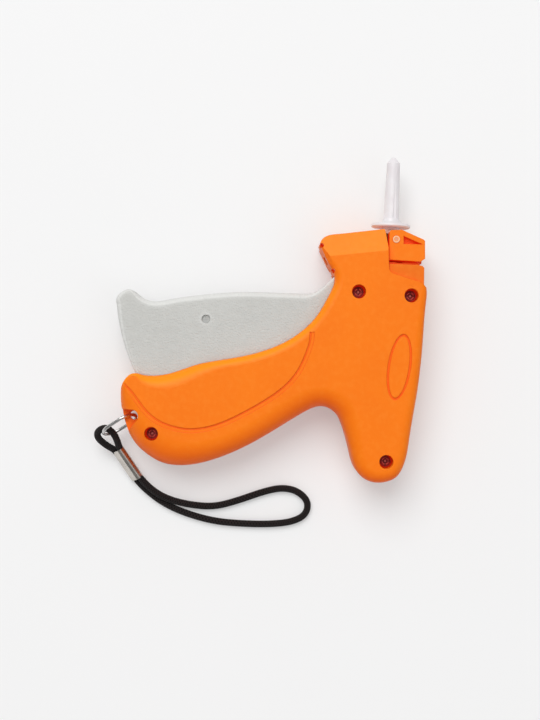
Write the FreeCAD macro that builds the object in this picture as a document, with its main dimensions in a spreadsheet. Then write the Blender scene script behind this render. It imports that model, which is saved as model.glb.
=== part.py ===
import FreeCAD, Part
import math
import os
import re

# Garment tag attacher lying on its right side, in millimetres.
# +Z is the gun's left side, +Y the way the needle points, +X the top of the gun.
# The origin is under the middle of the gun's box, on the surface that it lies on.

V = FreeCAD.Vector
doc = FreeCAD.newDocument("TagAttacher")

SIZES = {
    "plan_width": 129.04, "plan_length": 136.65, "thickness": 26.0, "wall": 2.2,
    "edge_round": 9.0, "fit_gap": 0.3, "shaft_gap": 0.05, "overrun": 1.0,
    "bevel_drop": 2.4, "bevel_width": 8.7, "bevel_turn": 8.4, "groove_width": 2.0, "groove_depth": 0.6,
    "oval_long": 13.7, "oval_short": 4.85, "oval_groove": 1.0, "oval_turn": 84.0,
    "screw_recess_radius": 2.9, "screw_recess_depth": 7.5, "screw_post_radius": 3.9,
    "screw_shank_radius": 1.25, "screw_head_radius": 2.3, "screw_head_height": 2.0,
    "screw_length": 13.5, "screw_slot_width": 0.7, "screw_slot_depth": 0.9,
    "eye_hole_radius": 1.9, "eye_web": 4.0, "eye_scoop_radius": 2.7, "eye_scoop_reach": 14.0,
    "eye_scoop_turn": 52.0,
    "trigger_thickness": 17.0, "trigger_wall": 2.2, "trigger_cheek": 4.8, "trigger_round": 3.0,
    "trigger_free_radius": 97.5, "trigger_angle": 17.5, "trigger_hub_radius": 5.0,
    "trigger_ear": 3.4, "mark_radius": 1.8, "mark_depth": 0.8,
    "pivot_pin_radius": 2.0, "pin_seat": 1.6, "lever_thickness": 3.0, "lever_hub_radius": 5.0,
    "lever_pin_radius": 2.0, "lever_arm": 26.0, "lever_arm_angle": 150.0, "cam_pin_length": 11.6,
    "cam_pin_radius": 1.5, "notch_radius": 0.9, "notch_slope": 1.3, "ledge_drop": 2.2,
    "lever_half_width": 3.4, "slide_stroke": 40.0, "slide_pin_radius": 1.5,
    "slide_width": 10.8, "slide_height": 9.0, "slide_slot": 3.8, "slide_tail": 5.0,
    "slide_length": 20.0, "slide_block": 5.0, "rail_width": 1.6, "rail_shelf": 3.4,
    "rod_radius": 0.8, "bush_radius": 3.0, "bush_length": 2.4,
    "buffer_radius": 4.2, "buffer_length": 2.6, "spring_radius": 1.9, "spring_wire": 0.7,
    "spring_turns": 14.0, "spring_post_radius": 1.0,
    "needle_radius": 1.25, "needle_bore": 1.0,
    "needle_length": 30.6, "needle_slot": 0.8, "needle_point": 4.5, "hub_width": 4.4,
    "hub_length": 3.9, "hub_height": 5.6, "cap_length": 29.50, "cap_base_radius": 3.3,
    "cap_tip_radius": 2.7, "cap_tip_length": 2.4, "cap_bore": 1.75, "cap_flange_radius": 8.25,
    "cap_flange_rim": 1.4, "cap_flange_height": 2.6, "cap_groove": 0.45,
    "cap_collar_radius": 3.6, "cap_collar": 0.75, "cap_groove_angle": 72.0,
    "latch_top": 24.4, "latch_low": 13.4, "latch_pin_radius": 1.45,
    "thumb_recess_depth": 2.6, "bracket_thickness": 1.2,
    "block_top": 24.4, "slot_floor": 8.0,
    "wheel_radius": 3.4, "wheel_tooth": 0.8, "wheel_width": 6.0,
    "wheel_axis_z": 8.8, "wheel_shaft_radius": 1.0, "wheel_shaft_length": 10.2,
    "pawl_thickness": 1.4, "pawl_pin_radius": 1.0,
    "pawl_width": 2.6, "pawl_tail": 9.0, "pawl_z": 2.7,
    "guide_width": 3.2, "guide_height": 7.0, "guide_wall": 1.0, "blade_thickness": 0.6,
    "detent_thickness": 0.4, "ring_wire_radius": 0.7, "ring_half_width": 5.4,
    "ring_straight": 4.6, "ring_turn": 214.8, "ring_roll": 19.0, "ring_drop": 10.0,
    "cord_diameter": 2.9, "ferrule_length": 15.0, "ferrule_width": 6.4, "ferrule_height": 3.7,
}

# Places in plan, as shares of the gun's width and length.
PLACE_SHARES = {
    "trigger_pivot": (0.2416, 0.1404), "latch_pin": (0.3890, 0.2429), "eye": (-0.4283, -0.3252),
    "oval": (0.4156, -0.1411), "needle_axis": (0.3769, 0.2450), "mark": (-0.2069, -0.0222),
    "grip_screw": (-0.3633, -0.3756), "throat_screw": (0.2770, 0.0802),
    "head_screw": (0.4444, 0.0754), "tail_screw": (0.3883, -0.4276), "bevel_foot": (0.1944, 0.1840),
    "cap_seat": (0.3762, 0.2842), "lever_pivot": (0.12787, -0.20490), "wheel": (0.40298, 0.19320),
    "pawl_pivot": (0.37663, 0.02927), "spring_anchor": (0.31153, -0.42078), "head_floor": (0.36113, 0.11270),
    "nose_notch": (0.1525, 0.2144), "lip_notch": (0.1915, 0.1394),
    "slide_pin": (0.3769, -0.33663), "bush": (0.3769, 0.09221), "rod_tip": (0.3769, 0.15807),
}

# The clip slot lies between the latch's foot and the feed block's head.
LATCH_FOOT_SHARE = 0.1790
BLOCK_HEAD_SHARE = 0.1686

sheet = doc.addObject("Spreadsheet::Sheet", "Sizes")
rows = dict(SIZES)
rows["latch_foot_share"] = LATCH_FOOT_SHARE
rows["block_head_share"] = BLOCK_HEAD_SHARE
for place, (share_x, share_y) in PLACE_SHARES.items():
    rows[place + "_x_share"] = share_x
    rows[place + "_y_share"] = share_y
for number, (alias, amount) in enumerate(rows.items()):
    cell = "B%d" % (number + 1)
    sheet.set("A%d" % (number + 1), alias)
    sheet.set(cell, str(amount))
    sheet.setAlias(cell, alias)
doc.recompute()

DERIVED = {
    "half_thickness": "thickness / 2",
    "cavity_depth": "half_thickness - wall",
    "trigger_low": "(thickness - trigger_thickness) / 2",
    "trigger_high": "(thickness + trigger_thickness) / 2",
    "lever_low": "(thickness - lever_thickness) / 2",
    "lever_high": "(thickness + lever_thickness) / 2",
    "slide_low": "(thickness - slide_height) / 2",
    "slide_rear_y": "slide_pin_y - slide_tail",
    "slide_front_y": "slide_rear_y + slide_length",
    "recess_floor": "thickness - screw_recess_depth",
    "latch_step_x": "needle_axis_x + hub_width * 4 / 3",
    "pawl_reach": "wheel_y - pawl_pivot_y + pawl_width",
    "hub_low": "half_thickness - hub_height / 2",
    "hub_high": "half_thickness + hub_height / 2",
    "latch_seat": "hub_high + bracket_thickness + fit_gap",
    "hub_y": "needle_axis_y + shaft_gap + 2 * rod_radius - wall / 2",
    "bracket_length": "latch_pin_x - head_floor_x + 13 * wall / 3",
    "guide_x": "plan_width / 6 + wall",
    "wheel_reach": "wheel_radius + wheel_tooth + 3 * fit_gap",
    "shaft_y": "latch_foot_y + fit_gap",
    "slot_mouth_x": "plan_width / 2 - 2 * wall",
    "spring_z": "lever_low - lever_thickness * 3 / 4",
    "clip_y": "(latch_foot_y + block_head_y) / 2",
    "latch_foot_y": "plan_length * latch_foot_share",
    "block_head_y": "plan_length * block_head_share",
}
places = doc.addObject("App::VarSet", "Places")


def expand(text):
    """Writes an expression of named sizes with the objects that hold them."""
    def held(match):
        word = match.group(0)
        if word in rows:
            return "Sizes." + word
        if word in known:
            return "Places." + word
        return word
    return re.sub(r"[a-z][a-z0-9_]+", held, text)


known = {place + axis for place in PLACE_SHARES for axis in ("_x", "_y")} | set(DERIVED)
for name in sorted(known):
    places.addProperty("App::PropertyFloat", name)
for place in PLACE_SHARES:
    places.setExpression(place + "_x", expand("plan_width * %s_x_share" % place))
    places.setExpression(place + "_y", expand("plan_length * %s_y_share" % place))
for name, text in DERIVED.items():
    places.setExpression(name, expand(text))
doc.recompute()


def mm(name):
    """The present value of a named size or place."""
    return float(sheet.get(name)) if name in rows else float(getattr(places, name))


def plan(shares):
    """Points of an outline, from their shares of the gun's width and length."""
    return [V(mm("plan_width") * sx, mm("plan_length") * sy, 0) for sx, sy in shares]


def bind(thing, **expressions):
    """Ties properties of an object to expressions of named sizes."""
    for prop, text in expressions.items():
        thing.setExpression(prop.replace("__", "."), expand(text))
    return thing


def put(thing, x, y, z):
    """Ties an object's place to expressions of named sizes."""
    return bind(thing, Placement__Base__x=x, Placement__Base__y=y, Placement__Base__z=z)


def box(name, length, width, height, x, y, z):
    thing = doc.addObject("Part::Box", name)
    bind(thing, Length=length, Width=width, Height=height)
    return put(thing, x, y, z)


def rod(name, radius, height, x, y, z, along="z"):
    thing = doc.addObject("Part::Cylinder", name)
    bind(thing, Radius=radius, Height=height)
    if along == "y":
        thing.Placement.Rotation = FreeCAD.Rotation(V(1, 0, 0), -90)
    if along == "x":
        thing.Placement.Rotation = FreeCAD.Rotation(V(0, 1, 0), 90)
    return put(thing, x, y, z)


def cone(name, radius_low, radius_high, height, x, y, z):
    """A cone along +Y."""
    thing = doc.addObject("Part::Cone", name)
    bind(thing, Radius1=radius_low, Radius2=radius_high, Height=height)
    thing.Placement.Rotation = FreeCAD.Rotation(V(1, 0, 0), -90)
    return put(thing, x, y, z)


def solid(name, shape):
    """A shape that is worked out from the named sizes in code."""
    thing = doc.addObject("Part::Feature", name)
    thing.Shape = shape
    return thing


def joined(name, *pieces):
    thing = doc.addObject("Part::MultiFuse", name)
    thing.Shapes = list(pieces)
    return thing


def cut(name, base, *tools):
    thing = doc.addObject("Part::Cut", name)
    thing.Base = base
    thing.Tool = tools[0] if len(tools) == 1 else joined(name + "_tools", *tools)
    return thing


def prism(points, low, high):
    """A straight prism between two heights on a closed outline of points."""
    ring = [V(point.x, point.y, low) for point in points]
    face = Part.Face(Part.makePolygon(ring + ring[:1]))
    return face.extrude(V(0, 0, high - low))


def polar(centre, radius, degrees):
    angle = math.radians(degrees)
    return V(centre.x + radius * math.cos(angle), centre.y + radius * math.sin(angle), 0)


def spot(name):
    return V(mm(name + "_x"), mm(name + "_y"), 0)


def turned(point, centre, degrees):
    return FreeCAD.Rotation(V(0, 0, 1), degrees).multVec(point - centre) + centre


# The casing's outline, counter-clockwise shares from the head's front edge.
HEAD_FRONT_SHARES = [
    (0.3689, 0.2757), (0.2648, 0.2604), (0.2034, 0.2515), (0.1766, 0.2472),
    (0.1552, 0.2355), (0.1475, 0.2195), (0.1548, 0.2015), (0.1819, 0.1532),
    (0.1967, 0.1262), (0.1977, 0.1047)]
TRIGGER_SIDE_SHARES = [
    (0.1810, 0.0620), (0.1517, 0.0085), (0.1124, -0.0365), (0.0592, -0.0756),
    (-0.0235, -0.1127), (-0.1329, -0.1402), (-0.2365, -0.1626), (-0.3166, -0.1889),
    (-0.3581, -0.1986), (-0.4026, -0.1991), (-0.4200, -0.1955)]
GRIP_END_SHARES = [
    (-0.4390, -0.1995), (-0.4530, -0.2120), (-0.4655, -0.2324), (-0.4691, -0.2566),
    (-0.4684, -0.2864), (-0.4527, -0.3534), (-0.4108, -0.4188), (-0.3808, -0.4416),
    (-0.3381, -0.4630), (-0.2601, -0.4706), (-0.1698, -0.4501)]
THROAT_SHARES = [
    (-0.0166, -0.3775), (0.1098, -0.2978), (0.1412, -0.2803), (0.1669, -0.2716),
    (0.1927, -0.2731), (0.2098, -0.2809), (0.2270, -0.2938), (0.2445, -0.3224)]
TAIL_SHARES = [
    (0.2722, -0.3993), (0.2982, -0.4622), (0.3189, -0.4814), (0.3419, -0.4911),
    (0.3729, -0.4933), (0.4022, -0.4867), (0.4256, -0.4733), (0.4403, -0.4519),
    (0.4618, -0.3477), (0.4790, -0.2148), (0.4891, -0.0698), (0.4933, 0.0534),
    (0.4936, 0.0959)]
HEAD_TOP_SHARES = [
    (0.4865, 0.1250), (0.4815, 0.1700), (0.4803, 0.2285), (0.4709, 0.2452),
    (0.4137, 0.2664)]
OUTLINE_SHARES = (HEAD_FRONT_SHARES + TRIGGER_SIDE_SHARES + GRIP_END_SHARES + THROAT_SHARES
                  + TAIL_SHARES + HEAD_TOP_SHARES)
# Share of the full edge rounding at some of the outline's points, by their place in the list.
ROUND_SHARES = {0: 0.15, 5: 0.15, 9: 0.39, 15: 0.39, 19: 0.33, 20: 0.17, 24: 0.55, 31: 1.0, 38: 0.89,
                44: 0.55, 50: 0.39}
SIDE_COUNT = 72


def outline_curve():
    """The casing's outline as one smooth closed curve."""
    curve = Part.BSplineCurve()
    curve.interpolate(plan(OUTLINE_SHARES), PeriodicFlag=True)
    return curve


def rimmed(name, slab, ends, radius, levels):
    """Rounds a slab's rims; each (point, share) of ends gives the rounding where a rim edge ends there."""
    rounded = doc.addObject("Part::Fillet", name)
    rounded.Base = slab
    rounding = []
    for number, edge in enumerate(slab.Shape.Edges):
        line = edge.discretize(Number=3)
        level = line[1].z
        if max(abs(point.z - level) for point in line) > mm("shaft_gap"):
            continue
        if min(abs(level - height) for height in levels) > mm("shaft_gap"):
            continue
        shares = []
        for end in (edge.valueAt(edge.FirstParameter), edge.valueAt(edge.LastParameter)):
            near = [share for point, share in ends
                    if math.hypot(point.x - end.x, point.y - end.y) < mm("shaft_gap")]
            shares += near[:1]
        if len(shares) == 2:
            rounding.append((number + 1, shares[0] * radius, shares[1] * radius))
    rounded.Edges = rounding
    doc.recompute()
    return rounded.Shape


def pieces_between(curve, points):
    """The curve's stretches between neighbouring points on it."""
    marks = [curve.parameter(point) for point in points]
    if curve.isPeriodic():
        marks.append(marks[0] + curve.LastParameter - curve.FirstParameter)
    return [curve.toShape(start, end) for start, end in zip(marks, marks[1:])]


def rounded_half():
    """One casing half as a full solid, parting face at zero height, outer face up."""
    points = plan(OUTLINE_SHARES)
    stations = sorted(ROUND_SHARES)
    edges = pieces_between(outline_curve(), [points[index] for index in stations])
    depth = mm("half_thickness")
    slab = solid("casing_slab", Part.Face(Part.Wire(edges)).extrude(V(0, 0, depth)))
    ends = [(points[index], ROUND_SHARES[index]) for index in stations]
    return rimmed("casing_form", slab, ends, mm("edge_round"), [depth])


CAVITY_STEP_SHARES = [(1.0, 0.60), (1.6, 0.82), (2.4, 0.93), (3.1, 1.0)]


def cavity_half():
    """The hollow of one casing half, narrower in steps towards its rounded outer edge."""
    points = outline_curve().discretize(Number=SIDE_COUNT)
    face = Part.Face(Part.makePolygon(points))
    layers = []
    for inset, depth in CAVITY_STEP_SHARES:
        inner = face.makeOffset2D(-mm("wall") * inset)
        layers.append(inner.extrude(V(0, 0, mm("cavity_depth") * depth)))
    return layers[0].multiFuse(layers[1:])


full_half = rounded_half()
hollow_half = cavity_half()
print("casing half volume %.0f, cavity %.0f" % (full_half.Volume, hollow_half.Volume))
pivot = spot("trigger_pivot")
needle_x = mm("needle_axis_x")
parting = mm("half_thickness")


def lever_point(y):
    """Angle of the line from the lever's pivot to the slide's pin, in degrees."""
    return math.degrees(math.atan2(y - mm("lever_pivot_y"), needle_x - mm("lever_pivot_x")))


lever_pivot = V(mm("lever_pivot_x"), mm("lever_pivot_y"), 0)
slide_pin = V(needle_x, mm("slide_pin_y"), 0)
LEVER_SWING = lever_point(slide_pin.y + mm("slide_stroke")) - lever_point(slide_pin.y)
TRACK_STEPS = 8


def bar(start, end, half_width, low, high):
    """A flat bar with round ends between two points of the plan."""
    along = (end - start).normalize()
    side = V(-along.y, along.x, 0) * half_width
    middle = prism([start + side, start - side, end - side, end + side], low, high)
    ends = [Part.makeCylinder(half_width, high - low, V(p.x, p.y, low)) for p in (start, end)]
    return middle.multiFuse(ends)


def track(points, half_width, low, high):
    """A slot or rib of constant width that follows a row of points."""
    bars = [bar(a, b, half_width, low, high) for a, b in zip(points, points[1:])]
    return bars[0].multiFuse(bars[1:]).removeSplitter()


def squeeze_steps():
    return [step / TRACK_STEPS for step in range(TRACK_STEPS + 1)]


def slide_pin_path():
    """The slide pin's path as the turning lever sees it."""
    start = slide_pin
    return [turned(start + V(0, mm("slide_stroke") * part, 0), lever_pivot, -LEVER_SWING * part)
            for part in squeeze_steps()]


def cam_pin_path():
    """The cam pin's path as the turning trigger sees it."""
    return [turned(polar(lever_pivot, mm("lever_arm"), mm("lever_arm_angle") + LEVER_SWING * part),
                   pivot, -mm("trigger_angle") * part) for part in squeeze_steps()]


# Casing halves, each built with its parting face at zero height and its outer face up.
CUTOUT_SHARES = [
    (0.3520, 0.2900), (0.3520, 0.2713), (0.3557, 0.2587), (0.3600, 0.2374), (0.3645, 0.2185), (0.3672, 0.1763),
    (0.3690, 0.1525), (0.3736, 0.1444), (0.3803, 0.1395), (0.4083, 0.1321), (0.4445, 0.1229), (0.4708, 0.1163),
    (0.4824, 0.1101), (0.4899, 0.1024), (0.5200, 0.0960), (0.5200, 0.2900)]
GRIP_LINE_SHARES = [
    (-0.4640, -0.2290), (-0.4515, -0.2382), (-0.4197, -0.2700), (-0.3927, -0.3019), (-0.3628, -0.3277),
    (-0.3269, -0.3457), (-0.2881, -0.3561), (-0.2529, -0.3606), (-0.2084, -0.3572), (-0.1643, -0.3463),
    (-0.1143, -0.3261), (-0.0615, -0.2982), (-0.0150, -0.2707), (0.0282, -0.2417), (0.0711, -0.2038),
    (0.1010, -0.1633), (0.1210, -0.1174), (0.1321, -0.0808), (0.1336, -0.0476)]
SCREWS = ["grip_screw", "throat_screw", "head_screw", "tail_screw"]
GROOVE_COUNT = 70


def smooth(shares, count):
    """Evenly spaced points of a smooth open curve through points given as shares."""
    curve = Part.BSplineCurve()
    curve.interpolate(plan(shares))
    return curve.discretize(Number=count)


def beside(points, distance):
    """The same points moved sideways, to the left of their direction."""
    result = []
    for index, point in enumerate(points):
        before = points[max(index - 1, 0)]
        after = points[min(index + 1, len(points) - 1)]
        along = (after - before).normalize()
        result.append(point + V(-along.y, along.x, 0) * distance)
    return result


def groove_tool():
    """The two-step groove that bounds the grip panel, deeper along its inner side."""
    line = smooth(GRIP_LINE_SHARES, GROOVE_COUNT)
    half = mm("groove_width") / 2
    bands = []
    for left, right, depth_share in ((-1.0, 1.0, 0.5), (0.2, 1.0, 1.0)):
        ring = beside(line, left * half) + list(reversed(beside(line, right * half)))
        bands.append(prism(ring, parting - depth_share * mm("groove_depth"), parting + mm("overrun")))
    return bands[0].fuse(bands[1])


def oval_tool():
    """The shallow groove round the bare oval."""
    direction = V(0, 0, 1)
    solids = []
    for offset in (0, mm("oval_groove")):
        oval = Part.Ellipse(V(0, 0, 0), mm("oval_long") - offset, mm("oval_short") - offset)
        face = Part.Face(Part.Wire([oval.toShape()]))
        face.rotate(V(0, 0, 0), direction, mm("oval_turn"))
        face.translate(spot("oval") + V(0, 0, parting - mm("groove_depth")))
        solids.append(face.extrude(V(0, 0, mm("groove_depth") + mm("overrun"))))
    return solids[0].cut(solids[1])


def bevel_tool():
    """The slope across the head's front edge."""
    foot = spot("bevel_foot")
    drop = math.degrees(math.atan2(mm("bevel_drop"), mm("bevel_width")))
    reach = mm("thickness")
    block = Part.makeBox(2 * reach, reach, reach, V(-reach / 2, 0, 0))
    block.rotate(V(0, 0, 0), V(1, 0, 0), -drop)
    block.rotate(V(0, 0, 0), V(0, 0, 1), mm("bevel_turn"))
    block.translate(foot + V(0, 0, parting))
    return block


def trigger_bay():
    """The opening in a half's wall that the trigger swings through."""
    centre_radius = mm("trigger_free_radius") + mm("fit_gap")
    points = plan(TRIGGER_SIDE_SHARES)
    last = points[-1] - pivot
    last_angle = math.degrees(math.atan2(last.y, last.x)) + 360
    inner = []
    for point in points[1:]:
        arm = point - pivot
        inner.append(turned(point, pivot, math.degrees(3 * mm("wall") / arm.Length)))
    inner[-1] = polar(pivot, centre_radius, last_angle + math.degrees(3 * mm("wall") / centre_radius))
    outer = [polar(pivot, centre_radius, last_angle - step) for step in (0, 8, 16)]
    top = [V(0, mm("plan_length") / 6, 0), plan(HEAD_FRONT_SHARES[-2:-1])[0]]
    high = parting - mm("trigger_low") + mm("fit_gap")
    swing = prism(inner + outer + top + [pivot], -mm("overrun"), high)
    hub_room = Part.makeCylinder(mm("trigger_hub_radius") + mm("fit_gap"), high + mm("overrun"),
                                 V(pivot.x, pivot.y, -mm("overrun")))
    return swing.fuse(hub_room)


def nose_frame():
    """The two notches in the head's end face, the way between them and the way into the head."""
    first, second = spot("nose_notch"), spot("lip_notch")
    along = (second - first).normalize()
    return first, second, along, V(-along.y, along.x, 0), mm("guide_height") / 2 + 2 * mm("fit_gap")


def nose_backing():
    """Solid plastic behind the notches, above the clip's exit."""
    first, second, along, side, low = nose_frame()
    over = along * 3 * mm("notch_radius")
    reach = side * 3 * mm("notch_radius")
    return prism([first - over + reach, second + over + reach, second + over - reach, first - over - reach],
                 low, parting)


def nose_notches():
    """Two upright half-round notches and a slope between them along the head's end."""
    first, second, along, side, low = nose_frame()
    low += mm("notch_radius")
    rounds = [Part.makeCylinder(mm("notch_radius"), mm("thickness"), V(place.x, place.y, low))
              for place in (first, second)]
    inner = first + side * mm("notch_slope") + V(0, 0, parting)
    outer = first - side * 3 * mm("notch_radius") + V(0, 0, parting)
    fall = V(0, 0, mm("notch_slope") + 3 * mm("notch_radius"))
    rise = V(0, 0, mm("notch_radius"))
    face = Part.Face(Part.makePolygon([inner, inner + rise, outer + rise, outer - fall, inner]))
    return face.extrude(second - first).multiFuse(rounds)


def eye_scoop():
    """The fan-shaped scoop that lets the ring swing in its eye."""
    eye = spot("eye")
    radius = mm("eye_scoop_radius")
    reach = mm("eye_scoop_reach")
    turn = 180 + mm("eye_scoop_turn")
    upper = V(0, radius, 0)
    lower = polar(V(0, 0, 0), radius, turn + 90)
    points = [eye + upper, eye + upper - V(reach, 0, 0), eye + polar(V(0, 0, 0), reach, 180 + turn / 9),
              eye + lower + polar(V(0, 0, 0), reach, turn), eye + lower, eye]
    low = mm("eye_web") / 2
    fan = prism(points, low, parting + mm("overrun"))
    return fan.fuse(Part.makeCylinder(radius, parting, V(eye.x, eye.y, low)))


def half_casing(name, upper):
    """One casing half with its posts, rails and seats, still lying outer face up."""
    tag = name + "_"
    clip = solid(tag + "form", full_half)
    shell = solid(tag + "shell", full_half.cut(hollow_half))
    depth = "half_thickness - wall / 2"
    inside = []
    for screw in SCREWS:
        inside.append(rod(tag + screw + "_post", "screw_post_radius", depth, screw + "_x", screw + "_y", "0"))
    seats = {"trigger_pivot": ("half_thickness - trigger_low + fit_gap", "2 * pivot_pin_radius"),
             "lever_pivot": ("lever_thickness + fit_gap", "2 * lever_pin_radius")}
    for seat, (low, radius) in seats.items():
        inside.append(rod(tag + seat + "_post", radius, "%s - (%s)" % (depth, low), seat + "_x", seat + "_y", low))
    rail_left = "needle_axis_x - slide_width / 2 - fit_gap - rail_width"
    rail_right = "needle_axis_x + slide_width / 2 + fit_gap"
    rail_long = "bush_y - slide_rear_y"
    for side, lip_x, shelf_x in (("left", rail_left, rail_left),
                                 ("right", rail_right, rail_right + " - rail_shelf + rail_width")):
        inside.append(box(tag + side + "_rail", "rail_width", rail_long, depth + " - lever_thickness",
                          lip_x, "slide_rear_y", "lever_thickness"))
        inside.append(box(tag + side + "_shelf", "rail_shelf", rail_long,
                          depth + " - slide_height / 2 - fit_gap", shelf_x, "slide_rear_y",
                          "slide_height / 2 + fit_gap"))
    inside.append(box(tag + "bulkhead", "slide_width + 2 * fit_gap + 2 * rail_width", "bush_length", depth,
                      rail_left, "bush_y", "0"))
    inside.append(solid(tag + "nose_backing", nose_backing()))
    inside.append(rod(tag + "eye_boss", "eye_scoop_radius * 3", "half_thickness", "eye_x", "eye_y", "0"))
    inside.append(box(tag + "head_wall", "head_floor_x - needle_axis_x + 3 * wall", "plan_length / 6",
                      depth, "head_floor_x - 1.2 * wall", "head_floor_y - wall", "0"))
    inside.append(box(tag + "step_wall", "plan_width / 8", "3 * wall", depth,
                      "head_floor_x", "head_floor_y - wall", "0"))
    if upper:
        inside.append(box(tag + "bracket_rib", "2 * wall", "2 * wall",
                          depth + " - hub_height / 2 - bracket_thickness",
                          "head_floor_x - 3 * wall", "hub_y - wall", "hub_height / 2 + bracket_thickness"))
    else:
        inside.append(box(tag + "head_floor", "plan_width / 6", "plan_length / 5", "half_thickness",
                          "head_floor_x", "head_floor_y", "0"))
        inside.append(rod(tag + "spring_post", "spring_post_radius", depth + " - lever_thickness / 2",
                          "spring_anchor_x", "spring_anchor_y", "lever_thickness / 2"))
    inner = doc.addObject("Part::Common", tag + "inside")
    inner.Base = clip
    inner.Tool = joined(tag + "posts", *inside)
    body = joined(tag + "body", shell, inner)
    tools = [solid(tag + "bay", trigger_bay()), solid(tag + "groove", groove_tool()),
             solid(tag + "oval", oval_tool()), solid(tag + "bevel", bevel_tool()),
             solid(tag + "scoop", eye_scoop()), solid(tag + "notches", nose_notches())]
    tools.append(rod(tag + "eye_hole", "eye_hole_radius", "thickness", "eye_x", "eye_y", "-overrun"))
    tools.append(rod(tag + "trigger_pin_hole", "pivot_pin_radius", "half_thickness - pin_seat + overrun",
                     "trigger_pivot_x", "trigger_pivot_y", "-overrun"))
    tools.append(rod(tag + "lever_pin_hole", "lever_pin_radius", "half_thickness - pin_seat + overrun",
                     "lever_pivot_x", "lever_pivot_y", "-overrun"))
    tools.append(rod(tag + "bush_seat", "bush_radius", "bush_length + 2 * overrun", "needle_axis_x",
                     "bush_y - overrun", "0", "y"))
    tools.append(box(tag + "guide_room", "plan_width / 4", "guide_width", "guide_height / 2 + overrun",
                     "guide_x - 4 * wall", "clip_y - guide_width / 2", "-overrun"))
    tools.append(box(tag + "hub_room", "hub_width", "hub_length + overrun", "hub_height / 2 + overrun",
                     "needle_axis_x - hub_width / 2", "hub_y", "-overrun"))
    tools.append(rod(tag + "rod_room", "2 * rod_radius", "plan_length / 6", "needle_axis_x",
                     "head_floor_y - overrun", "0", "y"))
    tools.append(box(tag + "slide_room", "slide_width + 2 * fit_gap", rail_long,
                     "slide_height / 2 + fit_gap + overrun", "needle_axis_x - slide_width / 2 - fit_gap",
                     "slide_rear_y", "-overrun"))
    for screw in SCREWS:
        if upper:
            tools.append(rod(tag + screw + "_recess", "screw_recess_radius", "screw_recess_depth + overrun",
                             screw + "_x", screw + "_y", "half_thickness - screw_recess_depth"))
            tools.append(rod(tag + screw + "_hole", "screw_shank_radius", "thickness", screw + "_x",
                             screw + "_y", "-overrun"))
        else:
            tools.append(rod(tag + screw + "_hole", "screw_shank_radius",
                             "screw_length - (half_thickness - screw_recess_depth) + overrun",
                             screw + "_x", screw + "_y", "-overrun"))
    if upper:
        tools.append(solid(tag + "cutout", prism(plan(CUTOUT_SHARES), -mm("overrun"), mm("thickness"))))
        tools.append(box(tag + "bracket_room", "bracket_length", "2 * wall", "bracket_thickness",
                         "head_floor_x - 3 * wall", "hub_y - wall", "hub_height / 2"))
    else:
        tools.append(box(tag + "wheel_room", "2 * wheel_reach", "wheel_width + 2 * fit_gap",
                         "half_thickness - wall + overrun", "wheel_x - wheel_reach",
                         "wheel_y - fit_gap", "-overrun"))
        tools.append(rod(tag + "shaft_hole", "wheel_shaft_radius", "wheel_shaft_length", "wheel_x",
                         "shaft_y", "half_thickness - wheel_axis_z", "y"))
        tools.append(box(tag + "pawl_room", "4 * pawl_width", "plan_length / 6", "pawl_thickness + 2 * fit_gap",
                         "pawl_pivot_x - 1.5 * pawl_width", "bush_y - overrun",
                         "half_thickness - pawl_z - pawl_thickness - fit_gap"))
        tools.append(rod(tag + "pawl_pin_hole", "pawl_pin_radius", "wall", "pawl_pivot_x", "pawl_pivot_y",
                         "half_thickness - wall - overrun"))
        tools.append(box(tag + "clip_slot", "plan_width / 6", "latch_foot_y - block_head_y",
                         "half_thickness - slot_floor + overrun", "head_floor_x",
                         "block_head_y", "-overrun"))
        tools.append(box(tag + "slot_mouth", "plan_width / 8", "latch_foot_y - block_head_y",
                         "thickness", "slot_mouth_x", "block_head_y", "-overrun"))
    return cut(tag + "finished", body, *tools)


left_half = half_casing("left", True)
right_half = half_casing("right", False)
doc.recompute()

NODES = []


def node(label, thing):
    """Keeps an object as a sub-part under its name."""
    thing.Label = label
    NODES.append((label, thing))
    return thing


def revolve_y(points, x, z):
    """A turned solid about a line along +Y, from (radius, y) points."""
    ring = [V(x + radius, y, z) for radius, y in points]
    return Part.Face(Part.makePolygon(ring + ring[:1])).revolve(V(x, 0, z), V(0, 1, 0), 360)


left_casing = put(left_half, "0", "0", "half_thickness")
node("left_casing", left_casing)
right_flip = doc.addObject("Part::Mirroring", "right_flip")
right_flip.Source = right_half
right_flip.Normal = V(0, 0, 1)
node("right_casing", put(right_flip, "0", "0", "half_thickness"))

# Four equal screws as one group of solids.
screws = []
for screw in SCREWS:
    shank = rod(screw + "_shank", "screw_shank_radius", "screw_length", screw + "_x", screw + "_y",
                "recess_floor - screw_length")
    head = rod(screw + "_head", "screw_head_radius", "screw_head_height", screw + "_x", screw + "_y",
               "recess_floor")
    slots = [box(screw + "_slot_a", "1.6 * screw_head_radius", "screw_slot_width", "screw_slot_depth",
                 screw + "_x - 0.8 * screw_head_radius", screw + "_y - screw_slot_width / 2",
                 "recess_floor + screw_head_height - screw_slot_depth"),
             box(screw + "_slot_b", "screw_slot_width", "1.6 * screw_head_radius", "screw_slot_depth",
                 screw + "_x - screw_slot_width / 2", screw + "_y - 0.8 * screw_head_radius",
                 "recess_floor + screw_head_height - screw_slot_depth")]
    screws.append(cut(screw + "_screw", joined(screw + "_blank", shank, head), *slots))
group = doc.addObject("Part::Compound", "screw_group")
group.Links = screws
node("casing_screws", group)

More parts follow.
